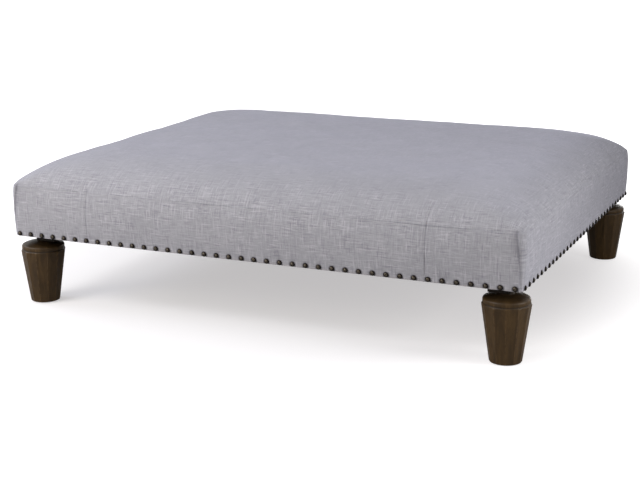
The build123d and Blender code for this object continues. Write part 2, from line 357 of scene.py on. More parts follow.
def make_timber_finish(name, dark, light, fineness, pores, roughness, along="z", worn_edge=None):
    """A timber finish with its grain along one axis and, on the legs, worn edges, a dark line under the lip
    and painted shade on the top of the dome.
    """
    finish, tree, shader = new_finish(name, Specular_IOR_Level=0.22)
    place = object_place(tree)
    parts = parts_of(tree, place)
    order = {"z": (0, 1, 2), "x": (1, 2, 0), "y": (0, 2, 1)}[along]
    marks = use_group(tree, grain, place=vector(tree, *(parts[axis] for axis in order)), fineness=fineness)
    paint = blend(tree, ramp(tree, marks["Bands"], 0.25, 0.75), dark, light)
    paint = blend(tree, times(tree, ramp(tree, marks["Streaks"], 0.45, 0.7), 0.4), paint, dark)
    paint = blend(tree, times(tree, marks["Pores"], pores), paint, timber_pore)
    if worn_edge:
        patchy = ramp(tree, noise(tree, place, 90.0, 2.0), 0.35, 0.65)
        paint = blend(tree, times(tree, mark(tree, "arris"), patchy, 0.4), paint, worn_edge)
        # A dark line under the lip, and painted shade on the top of the dome under the cover
        paint = blend(tree, times(tree, mark(tree, "lip_line_and_dome_shade"), 0.55), paint, walnut_lip_and_dome_shade)
    rough = ramp(tree, marks["Streaks"], 0.3, 0.7, roughness - 0.08, roughness + 0.1)
    feed(tree, shader, (("Base Color", paint), ("Roughness", rough)))
    height = minus(tree, times(tree, marks["Streaks"], 0.4), marks["Pores"])
    relief(tree, shader, height, 0.25, 0.0004)
    return finish


def make_bronze():
    """Aged bronze nail heads: dark rims, both patina and painted shade, and warm crowns, both rubbed wear and
    a painted highlight.
    """
    finish, tree, shader = new_finish("aged_bronze", Metallic=1.0)
    marks = use_group(tree, ageing, place=object_place(tree), scale=420.0)
    crown_wear_and_highlight = blend(tree, marks["Patches"], bronze_dull, bronze_bright)
    # Dark rim and light crown: patina and wear, with painted shade and a painted highlight
    paint = blend(tree, ramp(tree, mark(tree, "crown"), 0.55, 1.0), bronze_rim_patina_and_shade, crown_wear_and_highlight)
    paint = blend(tree, times(tree, marks["Pits"], 0.5), paint, bronze_pit)
    rough = ramp(tree, marks["Patches"], 0, 1, 0.30, 0.20)
    feed(tree, shader, (("Base Color", paint), ("Roughness", rough)))
    relief(tree, shader, marks["Pits"], 0.25, 0.0004)
    return finish


def make_hard_finish(name, scale, colours, roughness, pit_relief, **plain):
    """A hard finish with patches of two colours and fine pits: plated steel and moulded plastic."""
    finish, tree, shader = new_finish(name, **plain)
    marks = use_group(tree, ageing, place=object_place(tree), scale=scale)
    paint, rough = blend(tree, marks["Patches"], *colours), ramp(tree, marks["Pits"], 0, 1, *roughness)
    feed(tree, shader, (("Base Color", paint), ("Roughness", rough)))
    relief(tree, shader, marks["Pits"], pit_relief, 0.0003)
    return finish


def make_dust_cloth():
    """Thin black cloth under the frame."""
    finish, tree, shader = new_finish("black_dust_cloth", Roughness=0.92, Specular_IOR_Level=0.15)
    place = object_place(tree)
    threads = use_group(tree, weave, place=place, threads=900.0)
    paint = blend(tree, ramp(tree, noise(tree, place, 30.0, 3.0), 0.35, 0.65), dust_dark, dust_light)
    paint = blend(tree, times(tree, threads["Gap"], 0.5), paint, dust_gap)
    tree.links.new(paint, shader.inputs["Base Color"])
    relief(tree, shader, threads["Height"], 0.3, 0.0004)
    return finish


linen = make_linen()
walnut = make_timber_finish("dark_walnut", walnut_dark, walnut_light,
                            fineness=1.0, pores=0.35, roughness=0.44, worn_edge=walnut_worn)
# The corner blocks are near black
dark_block = make_timber_finish("near_black_block_timber", colour(26, 19, 14), colour(40, 30, 22),
                                fineness=0.8, pores=0.5, roughness=0.6)
rail_timber = make_timber_finish("frame_timber", colour(178, 142, 98), colour(208, 176, 130),
                                 fineness=0.5, pores=0.15, roughness=0.7, along="x")
short_rail_timber = make_timber_finish("short_rail_timber", colour(176, 140, 98), colour(206, 173, 128),
                                       fineness=0.5, pores=0.15, roughness=0.7, along="y")
ply_face = make_timber_finish("deck_plywood", colour(186, 152, 108), colour(214, 186, 144),
                              fineness=0.4, pores=0.2, roughness=0.75, along="x")
bronze = make_bronze()
steel = make_hard_finish("zinc_steel", 260.0, (colour(150, 150, 152), colour(182, 183, 186)),
                         roughness=(0.28, 0.45), pit_relief=0.15, Metallic=1.0)
glide_plastic = make_hard_finish("glide_plastic", 500.0, (colour(44, 42, 40), colour(56, 53, 50)),
                                 roughness=(0.5, 0.62), pit_relief=0.2, Specular_IOR_Level=0.4)
dust_cloth = make_dust_cloth()


# -------- the padded, covered block

def uneven(points, size, seed, waves=14):
    """A smooth, even cloud of small rises and dips over points, made of waves in all directions."""
    chance = np.random.default_rng(seed)
    total = np.zeros(len(points))
    for _ in range(waves):
        way = chance.normal(size=3)
        way /= np.linalg.norm(way)
        reach = size * chance.uniform(0.7, 1.6)
        total += np.sin(points @ way * (2 * math.pi / reach) + chance.uniform(0, 2 * math.pi))
    return total / math.sqrt(waves)


def hump(value, middle, width):
    """1 at the middle, falling smoothly to nothing on both sides over about twice the width."""
    return np.exp(-((value - middle) / width) ** 2)


def fade(value, start, end):
    """0 up to the start and 1 from the end on."""
    return np.clip((value - start) / (end - start), 0, 1)


def shoulder_swell(inset):
    """How much of the pillow's rise is reached this far in from its edge; it leaves the crease on a slope."""
    start = math.sqrt(1 - (1 - shoulder_start) ** 2)
    along = shoulder_start + (1 - shoulder_start) * np.minimum(inset / shoulder_reach, 1)
    return (np.sqrt(np.maximum(0, 1 - (1 - along) ** 2)) - start) / (1 - start)


def wall_stand(z):
    """How far the padded side stands outside the bottom edge of the frame at height z."""
    pull_from, pull_power = 0.78, 1.6
    share = fade(z, cover_bottom, crease_height)
    pull = fade(share, pull_from, 1.0) ** pull_power
    belly = side_belly * np.sin(math.pi * share ** 0.8)
    return side_flare * (1 - (1 - share) ** 2) + belly - crease_depth * pull


def grid_lines(half, seams=()):
    """Lines across the top: close together over the shoulder and at each seam, even between them."""
    shoulder_lines = 46
    insets = shoulder_reach * (1 - np.cos(np.linspace(0, math.pi / 2, shoulder_lines + 1)))
    inner = half - shoulder_reach
    even = np.linspace(0, inner, int(inner / grid_step) + 1)[:-1]
    lines = np.concatenate([even, half - insets])
    for seam in seams:
        clear, beside = 11.5, np.array([0.6, 1.4, 2.6, 4.0, 6.0, 9.0])
        lines = lines[np.abs(lines - seam) > clear]
        lines = np.concatenate([lines, seam - beside, [seam], seam + beside])
    lines = np.unique(np.round(lines, 4))
    return np.concatenate([-lines[:0:-1], lines])


def corner_pull(places, half):
    """Moves grid points in a corner's square onto its quarter disc."""
    share = fade(np.abs(places), half - fold_radius, half)
    pulled = half - fold_radius + fold_radius * share * np.sqrt(1 - share[:, ::-1] ** 2 / 2)
    return np.where((share > 0).all(1)[:, None], np.sign(places) * pulled, places)


def inset_of(places, half):
    """How far in from the edge the level outline through each point lies, found by halving."""
    low, high = np.zeros(len(places)), np.full(len(places), half[1])
    for _ in range(40):
        middle = (low + high) / 2
        radius = np.minimum(fold_radius + shoulder_corner * shoulder_swell(middle),
                            widest_corner_share * (half[1] - middle))
        over = np.abs(places) - half + (middle + radius)[:, None]
        outside = np.hypot(*np.maximum(over, 0).T) + np.minimum(over.max(1), 0) > radius
        high = np.where(outside, middle, high)
        low = np.where(outside, low, middle)
    return (low + high) / 2


def arc_reach(half):
    """Lengths along the cloth from the middle to each distance, over the shoulder."""
    at = half - shoulder_reach + shoulder_reach * np.sin(np.linspace(0, math.pi / 2, 400))
    rise = pillow_rise * shoulder_swell(half - at)
    along = np.concatenate([[0], np.cumsum(np.hypot(np.diff(at), np.diff(rise)))]) + half - shoulder_reach
    return lambda x: np.sign(x) * np.where(np.abs(x) < half - shoulder_reach, np.abs(x),
                                           np.interp(np.abs(x), at, along))


def make_top(half):
    """The pillow on a grid: its points, their places on the cloth, and the grid's numbering."""
    xs, ys = grid_lines(half[0], (seam_at,)), grid_lines(half[1])
    grid = np.stack(np.meshgrid(xs, ys, indexing="ij"), 2).reshape(-1, 2)
    places = corner_pull(grid, half)
    inset = inset_of(places, half)
    z = crease_height + pillow_rise * shoulder_swell(inset) + crown_rise * (1 - (1 - inset / half[1]) ** 2)
    cloth = np.stack([arc_reach(reach)(column) for reach, column in zip(half, grid.T)], 1)
    return np.column_stack([places, z]), cloth, np.arange(len(z)).reshape(len(xs), len(ys))


def make_side(edge, half):
    """Rows of points from the crease down, round the hem and in under the rails, with the cloth's length."""
    # Rows lie close together at the crease and at the nails
    below_crease = (1, 2.2, 3.8, 6, 9, 13, 18, 25, 33, 42, 52, 62, 72, 82, 92, 101, 109, 116, 122, 127, 131,
                    134.5, 137.5, 140, 142.5, 145, 147, 148.5, 149.5, 150)
    under_rails = ((9, 151), (20, 161), (45, 186))
    corner = half - fold_radius
    outward = edge[:, :2] - np.clip(edge[:, :2], -corner, corner)
    outward /= np.linalg.norm(outward, axis=1)[:, None]
    rows, drops = [edge], [0.0]
    for drop in below_crease:
        level = crease_height - drop
        roll = max(0.0, cover_bottom + hem_radius - level)
        tuck = hem_radius - math.sqrt(hem_radius ** 2 - roll ** 2)
        move = wall_stand(level) - wall_stand(crease_height) - tuck
        rows.append(np.column_stack([edge[:, :2] + outward * move, np.full(len(edge), level)]))
        drops.append(drop)
    for tuck, drop in under_rails:
        rows.append(np.column_stack([edge[:, :2] - outward * tuck, np.full(len(edge), cover_bottom)]))
        drops.append(drop)
    return rows, drops


def side_cloth(edge, drops, half):
    """Each row's places on the cloth, as they lie on the front and back, and on the ends."""
    over = np.abs(edge[:, :2]) - half + fold_radius
    turn = np.arctan2(np.maximum(over[:, 1], 0), np.maximum(over[:, 0], 1e-6))
    round_corner = (over > -0.01).all(1)
    along_end = np.where(round_corner, half[1] - fold_radius + fold_radius * turn, np.abs(edge[:, 1]))
    sign_x, sign_y = np.sign(edge[:, :2].T)
    reach_x, reach_y = (float(arc_reach(reach)(reach)) for reach in half)
    on_front = [np.stack([edge[:, 0], sign_y * (reach_y + drop)], 1) for drop in drops]
    on_end = [np.stack([sign_x * (reach_x + drop), sign_y * along_end], 1) for drop in drops]
    return np.array(on_front), np.array(on_end)


def round_faces(table):
    """A table of rows down the side and columns round it, read at each face's four corners."""
    after = np.roll(table, -1, axis=1)
    return np.stack([after[:-1], table[:-1], table[1:], after[1:]], 2)


def make_cover_mesh():
    """Points and faces of the closed padded form, and each face corner's place on the cloth."""
    half = np.array((half_length, half_width)) + wall_stand(crease_height)
    top, top_cloth, index = make_top(half)
    top_faces = np.stack([index[:-1, :-1], index[1:, :-1], index[1:, 1:], index[:-1, 1:]], 2).reshape(-1, 4)
    ring = np.concatenate([index[:-1, 0], index[-1, :-1], index[:0:-1, -1], index[0, :0:-1]])
    edge = top[ring]
    side, drops = make_side(edge, half)
    below = len(top) + np.arange((len(side) - 1) * len(ring)).reshape(-1, len(ring))
    side_faces = round_faces(np.concatenate([[ring], below]))
    front = np.abs(edge[:, 1] + np.roll(edge[:, 1], -1)) / 2 > half[1] - 0.5
    on_front, on_end = (round_faces(cloth) for cloth in side_cloth(edge, drops, half))
    cloth = np.where(front[None, :, None, None], on_front, on_end)
    faces = np.concatenate([top_faces, side_faces.reshape(-1, 4)]).tolist() + [below[-1].tolist()]
    cloth = np.concatenate([top_cloth[top_faces.ravel()], cloth.reshape(-1, 2), side[-1][:, :2]])
    return np.concatenate([top] + side[1:]), faces, cloth


def face_normals(points, faces):
    """A direction outwards at every point, from the faces round it."""
    normals = np.zeros_like(points)
    quads = np.array([face for face in faces if len(face) == 4])
    corners = [points[quads[:, i]] for i in range(4)]
    across = np.cross(corners[2] - corners[0], corners[3] - corners[1])
    for i in range(4):
        np.add.at(normals, quads[:, i], across)
    return normals / np.maximum(np.linalg.norm(normals, axis=1), 1e-9)[:, None]


def fullness(x, y, z):
    """The front and the back stand fuller above the nails, and are drawn in at the crease."""
    full, drawn_in, drawn_height = 5.0, 5.0, 30.0
    share = fade(z, nail_height + 6, crease_height)
    between = 1 - np.clip(np.abs(x) / half_length, 0, 1) ** 8
    between = between * fade(np.abs(y), half_width - 70, half_width - 20)
    waist = hump(z, crease_height + 4, drawn_height)
    return between * (full * np.sin(math.pi * share ** 0.85) - drawn_in * waist)


def sewn_seams(points):
    """The two seams, from the bottom at the front over the top to the back, with painted shade in their
    grooves; they fade over the shoulder.
    """
    x, _, z = points.T
    groove_depth, groove_width, shade = 1.5, 1.5, 0.6
    swell_height, swell_at, swell_width = 0.4, 6.0, 3.0
    from_seam = np.abs(np.abs(x) - seam_at)
    groove = hump(from_seam, 0, groove_width)
    strength = 0.7 + 0.3 * uneven(points, 70, 8)
    strength *= 1 - 0.9 * fade(z, crease_height - 1, crease_height + 54)
    move = (swell_height * hump(from_seam, swell_at, swell_width) - groove_depth * groove) * strength
    return move, shade * groove * np.clip(strength, 0, 1)


def crease_and_puffs(points, on_end, near_edge):
    """The crease where the side meets the pillow, with painted shade along it, and the small puffs just above
    it.
    """
    x, y, z = points.T
    dent_depth, dent_width, shade, shade_width = 1.6, 4.0, 0.45, 2.2
    puff_height, puff_above, puff_width = 0.7, 16.0, 12.0
    level_place = points * (1, 1, 0)
    waver = crease_height + 2.0 * uneven(level_place, 260, 11)
    # On the ends it runs in short dashes, each on a slant
    dash_length, slant = 74, 3.0
    dash = (y / dash_length + 0.3 * uneven(level_place, 300, 19)) % 1
    waver += np.where(on_end, slant * (2 * dash - 1), 0)
    depth = np.clip(0.3 + 0.35 * uneven(level_place, 420, 13) + 0.45 * uneven(level_place, 60, 17), 0.0, 1.0)
    # On the front and the back it is faint, but for a stretch by one corner
    stretch_at, stretch_width = -np.sign(y) * 672, 52
    stretch = hump(x, stretch_at, stretch_width) * np.clip(0.5 + 0.5 * uneven(points, 45, 29), 0, 1)
    depth = np.where(on_end, depth, 0.25 * depth + stretch)
    depth = depth * near_edge * (z > cover_bottom + 1) * (z < crease_height + 40)
    puffs = hump(z, crease_height + puff_above, puff_width)
    puffs *= 1 + np.where(on_end, 1.0, 0.35) * uneven(points * (1, 1, 0.4), 75, 23)
    move = puff_height * puffs - dent_depth * depth * hump(z, waver, dent_width)
    return move, shade * depth * hump(z, waver, shade_width)


def nail_dips(z, along, near_edge):
    """The cloth dips at each nail and stands out between them."""
    between, dip, band_width = 0.25, 0.45, 9.0
    wave = np.cos(2 * math.pi * (along / nail_pitch - 0.5))
    return hump(z, nail_height, band_width) * (between - dip * wave) * near_edge


def corner_pleats(x, y, z):
    """A folded pleat on the front and the back beside each corner: a line, a hollow and a roll of cloth; the
    line and the hollow get painted shade.
    """
    line_depth, line_width = 1.6, 2.6
    hollow_depth, hollow_at, hollow_width = 1.5, -4.0, 8.0
    roll_height, roll_at, roll_width = 1.1, 5.0, 3.5
    # Its line stands 7 mm in from the corner and leans further in towards its top
    pleat_at = half_length - 7 - 9 * fade(z, 230, 345) ** 2
    pleat_wall = fade(np.abs(y), half_width - 8, half_width)
    pleat_wall = pleat_wall * (z < crease_height + 6) * (z > cover_bottom + 2)
    past = np.abs(x) - pleat_at
    line = hump(past, 0, line_width) * pleat_wall
    hollow = hump(past, hollow_at, hollow_width) * pleat_wall * fade(z, 225, 315)
    roll = hump(past, roll_at, roll_width) * pleat_wall
    move = roll_height * roll - line_depth * line - hollow_depth * hollow
    return move, 0.75 * line * np.maximum(0.2, fade(z, 215, 285)) + 0.55 * hollow


def slub_strength(x, y, z):
    """How strong the slubs are, weft and warp: strong on the sides, most on the ends, and flat on the top."""
    rising = fade(z, crease_height + 10, crease_height + 10 + 0.85 * pillow_rise)
    level = rising * rising * (3 - 2 * rising)
    end = fade(np.abs(x), half_length - 6, half_length) * (np.abs(y) < half_width - 1)
    on_end = 1 + 0.10 * end
    return (1.28 - 0.58 * level) * on_end, (1.24 - 0.79 * level) * on_end


def dress(points, normals):
    """Moves points along their normals for seams, folds, nails and softness, and marks the painted shade of
    the folds.
    """
    x, y, z = points.T
    on_end = np.abs(x) > half_length - 8
    near_edge = np.maximum(np.abs(x) / half_length, np.abs(y) / half_width) > 0.97
    along = np.where(np.abs(np.abs(y) - half_width) < 8, x, y)
    softness = 0.9 * uneven(points, 260, 3) + 0.35 * uneven(points, 90, 5)
    move = softness * fade(z, cover_bottom + 20, cover_bottom + 140)
    move += fullness(x, y, z) + nail_dips(z, along, near_edge)
    painted_fold_shade = np.zeros(len(points))
    crease = crease_and_puffs(points, on_end, near_edge)
    for dent, shade in (sewn_seams(points), crease, corner_pleats(x, y, z)):
        move += dent
        painted_fold_shade += shade
    hem = hump(z, cover_bottom + 1.5, 3.0) * near_edge
    weft, warp = slub_strength(x, y, z)
    marks = {"painted_fold_shade": np.clip(painted_fold_shade, 0, 1), "hem": hem, "weft": weft, "warp": warp, "edge_run": along * METRE}
    return points + normals * move[:, None], marks


def make_cover():
    """The whole padded block in its linen, sewn of three panels."""
    points, faces, cloth = make_cover_mesh()
    flat_under = points[:, 2] <= cover_bottom + 0.01
    dressed, marks = dress(points, face_normals(points, faces))
    dressed[flat_under] = points[flat_under]
    piece = mesh_piece("linen_cover", dressed, faces, linen)
    mesh = piece.data
    layer = mesh.uv_layers.new(name="cloth")
    layer.data.foreach_set("uv", (cloth * METRE).ravel())
    for name, values in marks.items():
        made = mesh.attributes.new(name, "FLOAT", "POINT")
        made.data.foreach_set("value", values.astype(np.float32))
    return piece


cover = make_cover()
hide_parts("cover_centre", "cover_left_end", "cover_right_end", "batting", "foam_core")
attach(cover, "root")


# -------- pieces that follow a rule, by Geometry Nodes

def ruled_piece(name, mesh, tree, values):
    """A piece that a tree makes from a starting mesh, with the tree's inputs by name, as a plain mesh."""
    piece = new_object(name, mesh)
    modifier = piece.modifiers.new("rule", "NODES")
    modifier.node_group = tree
    for socket in tree.interface.items_tree:
        if socket.in_out == "INPUT" and socket.name in values:
            modifier[socket.identifier] = values[socket.name]
    bpy.context.view_layer.update()
    evaluated = piece.evaluated_get(bpy.context.evaluated_depsgraph_get())
    made = bpy.data.meshes.new_from_object(evaluated)
    made.name = name
    piece.modifiers.clear()
    piece.data = made
    bpy.data.meshes.remove(mesh)
    return piece


def shape(tree, kind, inputs, **settings):
    """The first output of a new geometry node."""
    return add(tree, "GeometryNode" + kind, inputs, **settings).outputs[0]


def store_mark(tree, geometry, name, value):
    """Keeps a value on the mesh's points under a name, for the finish to read."""
    return shape(tree, "StoreNamedAttribute", {
        "Geometry": geometry, "Name": name, "Value": value,
    }, data_type="FLOAT", domain="POINT")


def moved(tree, geometry, **how):
    """The geometry scaled or turned."""
    values = {"Geometry": geometry, **{key.capitalize(): value for key, value in how.items()}}
    return shape(tree, "Transform", values)


def finish_tree(tree, geometry, given, out):
    """Ends a tree: instances made real, shaded smooth, with the finish set."""
    real = shape(tree, "RealizeInstances", {"Geometry": geometry})
    soft = shape(tree, "SetShadeSmooth", {"Geometry": real})
    done = shape(tree, "SetMaterial", {"Geometry": soft, "Material": given["Finish"]})
    tree.links.new(done, out[0])


def make_nail_tree():
    """A row of domed nail heads at even places, each turned and tipped a little differently."""
    tree, given, out = new_group("nail_row", "GeometryNodeTree", (
        ("Geometry", "Geometry"),
        ("Count", "Int", 40),
        ("Pitch", "Float", nail_pitch * METRE),
        ("Stand out", "Float", 0.61),
        ("Height", "Float", nail_height * METRE),
        ("Turn", "Float", 0.0),
        ("Head radius", "Float", nail_head_radius * METRE),
        ("Rise", "Float", nail_head_rise * METRE),
        ("Seed", "Int", 1),
        ("Finish", "Material"),
    ), (("Geometry", "Geometry"),))
    most_turned = (0.05, 3.0, 0.05)  # in radians: tipped a little, spun any way
    # The row: a line of points, centred
    start = times(tree, minus(tree, given["Count"], 1.0), given["Pitch"], -0.5)
    first = vector(tree, start, times(tree, given["Stand out"], -1.0), given["Height"])
    line = shape(tree, "MeshLine", {
        "Count": given["Count"], "Start Location": first, "Offset": vector(tree, given["Pitch"]),
    }, mode="OFFSET")
    # One head: the upper half of a ball, closed by a disc, and flattened
    ball = shape(tree, "MeshUVSphere", {"Segments": 16, "Rings": 8, "Radius": 1.0})
    height = parts_of(tree, tree.nodes.new("GeometryNodeInputPosition").outputs[0])[2]
    below = add(tree, "FunctionNodeCompare", {0: height, 1: -0.01}, data_type="FLOAT", operation="LESS_THAN")
    dome = shape(tree, "DeleteGeometry", {"Geometry": ball, "Selection": below.outputs[0]})
    disc = shape(tree, "MeshCircle", {"Vertices": 16, "Radius": 1.0}, fill_type="NGON")
    turned_disc = shape(tree, "FlipFaces", {"Mesh": disc})
    both = tree.nodes.new("GeometryNodeJoinGeometry")
    tree.links.new(dome, both.inputs[0])
    tree.links.new(turned_disc, both.inputs[0])
    whole = shape(tree, "MergeByDistance", {"Geometry": both.outputs[0], "Distance": 0.001})
    whole = store_mark(tree, whole, "crown", height)
    size = vector(tree, given["Head radius"], given["Head radius"], given["Rise"])
    head = moved(tree, moved(tree, whole, scale=size), rotation=(math.pi / 2, 0, 0))
    tip = add(tree, "FunctionNodeRandomValue", {
        0: tuple(-turn for turn in most_turned), 1: most_turned, "Seed": given["Seed"],
    }, data_type="FLOAT_VECTOR").outputs[0]
    placed = shape(tree, "InstanceOnPoints", {"Points": line, "Instance": head, "Rotation": tip})
    finish_tree(tree, moved(tree, placed, rotation=vector(tree, z=given["Turn"])), given, out)
    return tree


def make_nails():
    """Four rows of nails along the bottom of the cover."""
    tree = make_nail_tree()
    for seed, (side, turn, length, across) in enumerate((
        ("front", 0.0, body_length, body_width),
        ("right", math.pi / 2, body_width, body_length),
        ("back", math.pi, body_length, body_width),
        ("left", -math.pi / 2, body_width, body_length),
    )):
        piece = ruled_piece("nail_heads_" + side, bpy.data.meshes.new("start"), tree, {
            "Count": round(length / nail_pitch),
            "Stand out": (across / 2 + nail_stand_out) * METRE,
            "Turn": turn,
            "Seed": seed,
            "Finish": bronze,
        })
        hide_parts("nails_" + side)
        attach(piece, "root")


def make_leg_tree():
    """A leg turned from a profile and cut with flats, wherever these lie deeper than the profile."""
    tree, given, out = new_group("faceted_leg", "GeometryNodeTree", (
        ("Geometry", "Geometry"),
        ("Flats", "Int", 12),
        ("Columns", "Int", 144),
        ("Foot radius", "Float", foot_radius * METRE),
        ("Widest radius", "Float", widest_radius * METRE),
        ("Flats bottom", "Float", flats_bottom * METRE),
        ("Flats top", "Float", flats_top * METRE),
        ("Arris softness", "Float", 0.0006),
        ("Lip", "Float", lip_height * METRE),
        ("Axis", "Vector", (0, 0, 0)),
        ("Finish", "Material"),
    ), (("Geometry", "Geometry"),))
    crowding, arris_share, rim_softness, merge_within = 0.72, 0.44, 0.0006, 0.00005
    lip_shade, dome_shade = (0.0008, 0.0030), (0.0090, 0.0180)
    # A grid with a row for each point of the profile, and that point for each row
    levels = add(tree, "GeometryNodeAttributeDomainSize", {0: given["Geometry"]}).outputs["Point Count"]
    grid = shape(tree, "MeshGrid", {
        "Size X": 1.0, "Size Y": 1.0, "Vertices X": plus(tree, given["Columns"], 1.0), "Vertices Y": levels,
    })
    place = tree.nodes.new("GeometryNodeInputPosition").outputs[0]
    parts = parts_of(tree, place)
    level = times(tree, plus(tree, parts[1], 0.5), minus(tree, levels, 1.0))
    profile = add(tree, "GeometryNodeSampleIndex", {
        "Geometry": given["Geometry"], "Index": calc(tree, "ROUND", level),
    }, data_type="FLOAT_VECTOR", domain="POINT")
    feed(tree, profile, (("Value", place),))
    turned_radius, _, height = parts_of(tree, profile.outputs[0])
    # Each column's turn, crowded towards the arrises, and how far it lies from its flat's middle
    even_turn = times(tree, plus(tree, parts[0], 0.5), 2 * math.pi)
    crowd = times(tree, calc(tree, "SINE", times(tree, even_turn, given["Flats"])), crowding)
    turn = plus(tree, even_turn, calc(tree, "DIVIDE", crowd, given["Flats"]))
    wedge = calc(tree, "DIVIDE", 2 * math.pi, given["Flats"])
    half_wedge = times(tree, wedge, 0.5)
    in_flat = calc(tree, "WRAP", turn, half_wedge, times(tree, wedge, -0.5))
    from_middle = calc(tree, "ABSOLUTE", in_flat)
    # The distance of the flats, which lean out from the foot to the shoulder
    rise = calc(tree, "DIVIDE", minus(tree, height, given["Flats bottom"]),
                minus(tree, given["Flats top"], given["Flats bottom"]), clamp=True)
    spread = minus(tree, given["Widest radius"], given["Foot radius"])
    point_radius = plus(tree, given["Foot radius"], times(tree, rise, spread))
    apothem = times(tree, point_radius, calc(tree, "COSINE", half_wedge))
    own, beside = (calc(tree, "DIVIDE", apothem, calc(tree, "COSINE", turned))
                   for turned in (in_flat, minus(tree, wedge, from_middle)))
    flats = calc(tree, "SMOOTH_MIN", own, beside, given["Arris softness"])
    radius = calc(tree, "SMOOTH_MIN", turned_radius, flats, rim_softness)
    radius = calc(tree, "MAXIMUM", calc(tree, "MINIMUM", radius, turned_radius), 0.0)
    spot = vector(tree, times(tree, radius, calc(tree, "COSINE", turn)),
                  times(tree, radius, calc(tree, "SINE", turn)), height)
    spot = add(tree, "ShaderNodeVectorMath", {0: spot, 1: given["Axis"]}, operation="ADD").outputs[0]
    # Marks for the finish: the arrises, and the dark line under the lip with the painted shade on the top of
    # the dome
    arris = ramp(tree, from_middle, times(tree, wedge, arris_share), half_wedge)
    from_lip = calc(tree, "ABSOLUTE", minus(tree, height, given["Lip"]))
    lip = minus(tree, 1.0, ramp(tree, from_lip, *lip_shade))
    dome = ramp(tree, height, *(plus(tree, given["Lip"], above) for above in dome_shade))
    marked = store_mark(tree, grid, "arris", arris)
    marked = store_mark(tree, marked, "lip_line_and_dome_shade", calc(tree, "MAXIMUM", lip, dome))
    shaped = shape(tree, "SetPosition", {"Geometry": marked, "Position": spot})
    closed = shape(tree, "MergeByDistance", {"Geometry": shaped, "Distance": merge_within})
    finish_tree(tree, closed, given, out)
    return tree


def leg_profile():
    """The turned outline of a leg, from the middle of its foot up to its neck, as radius and height.

    Where it says 70, the flats cut deeper and alone give the shape.
    """
    return [
        (0, 2), (17.5, 2), (36, 2), (39.5, 2), (41, 2.5), (42.6, 3.6), (44.5, 5), (60, 7), (70, 9), (70, 20),
        (70, 45), (70, 75), (70, 105), (70, 130), (70, 148), (67, 152), (65.2, 153.6), (64.2, 154.6),
        (63.2, 155.8), (62.2, 156.8), (61.2, 157.6), (60.7, 158.4), (61, 159.6), (61.5, 162), (61.5, 166.5),
        (61.2, 168.4), (60.5, 170.2), (59, 171.6), (56.7, 172.8), (52.5, 174.5), (47.2, 176.2), (42, 177.6),
        (35.7, 179), (29, 180.1), (22.5, 180.9), (18.6, 181.3), (18, 181.8), (18, 183), (8, 183), (0, 183),
    ]


def make_legs():
    """Four turned legs with twelve flats."""
    tree = make_leg_tree()
    outline = [(radius * METRE, 0, z * METRE) for radius, z in leg_profile()]
    for end in ("front", "back"):
        for side in ("left", "right"):
            mesh = bpy.data.meshes.new("leg_outline")
            mesh.from_pydata(outline, [(i, i + 1) for i in range(len(outline) - 1)], [])
            piece = ruled_piece(f"turned_leg_{end}_{side}", mesh, tree, {
                "Axis": (leg_axes[side] * METRE, leg_axes[end] * METRE, 0.0), "Finish": walnut,
            })
            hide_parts(f"leg_{end}_{side}")
            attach(piece, "root")


make_nails()
make_legs()


# -------- the dust cover, a stretched sheet

def sheet_lines(half, cut):
    """Lines across the sheet: even as far as the cut, then through the cut to the sheet's edge."""
    (low, high), step = cut, 16
    inner = np.linspace(0, low, int(low / step) + 1)
    side = np.array([low, (low + high) / 2, high, (high + half) / 2, half])
    lines = np.unique(np.round(np.concatenate([inner, side]), 3))
    return np.concatenate([-lines[:0:-1], lines])


def make_dust_cover():
    """Thin cloth pulled tight under the frame, cut out round the corner blocks, with a little sag."""
    length, width, thickness, bottom = 1496.0, 1191.2, 0.8, 201.3
    block_size, block_outside, clearance = 60.0, (718.2, 565.8), 0.3
    sag_depth, ripple_height = 2.5, 0.25
    cuts = [(outside - block_size - clearance, outside + clearance) for outside in block_outside]
    xs, ys = sheet_lines(length / 2, cuts[0]), sheet_lines(width / 2, cuts[1])
    grid_x, grid_y = (part.ravel() for part in np.meshgrid(xs, ys, indexing="ij"))
    hang = (1 - (grid_x / (length / 2)) ** 2) * (1 - (grid_y / (width / 2)) ** 2)
    ripple = uneven(np.stack([grid_x, grid_y, grid_x * 0], 1), 240, 21)
    sag = sag_depth * hang + ripple_height * np.clip(4 * hang, 0, 1) * ripple
    low = np.stack([grid_x, grid_y, bottom - sag], 1)
    points = np.concatenate([low, low + (0, 0, thickness)])
    index = np.arange(len(low)).reshape(len(xs), len(ys))
    in_cut = []
    for lines, (inside, outside) in zip((xs, ys), cuts):
        middle = np.abs(lines[:-1] + lines[1:]) / 2
        in_cut.append((middle > inside) & (middle < outside))
    # Which cells are cloth, inside a border of cells that aren't; cell i, j ends at line i, j
    cloth = np.pad(~np.outer(*in_cut), 1)
    faces = []
    for i, j in np.argwhere(cloth):
        face = [int(v) for v in (index[i - 1, j - 1], index[i, j - 1], index[i, j], index[i - 1, j])]
        faces.append(tuple(face[::-1]))
        faces.append(tuple(v + len(low) for v in face))
        for k, beside in enumerate((cloth[i, j - 1], cloth[i + 1, j], cloth[i, j + 1], cloth[i - 1, j])):
            if not beside:
                a, b = face[k], face[(k + 1) % 4]
                faces.append((a, b, b + len(low), a + len(low)))
    used = np.unique(np.concatenate([np.array(face) for face in faces]))
    renumber = {int(old): new for new, old in enumerate(used)}
    return points[used], [tuple(renumber[v] for v in face) for face in faces]


sheet_points, sheet_faces = make_dust_cover()
dust_sheet = mesh_piece("dust_sheet", sheet_points, sheet_faces, dust_cloth, smooth=False)
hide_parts("dust_cover")
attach(dust_sheet, "root")


# -------- CAD nodes that keep their shape

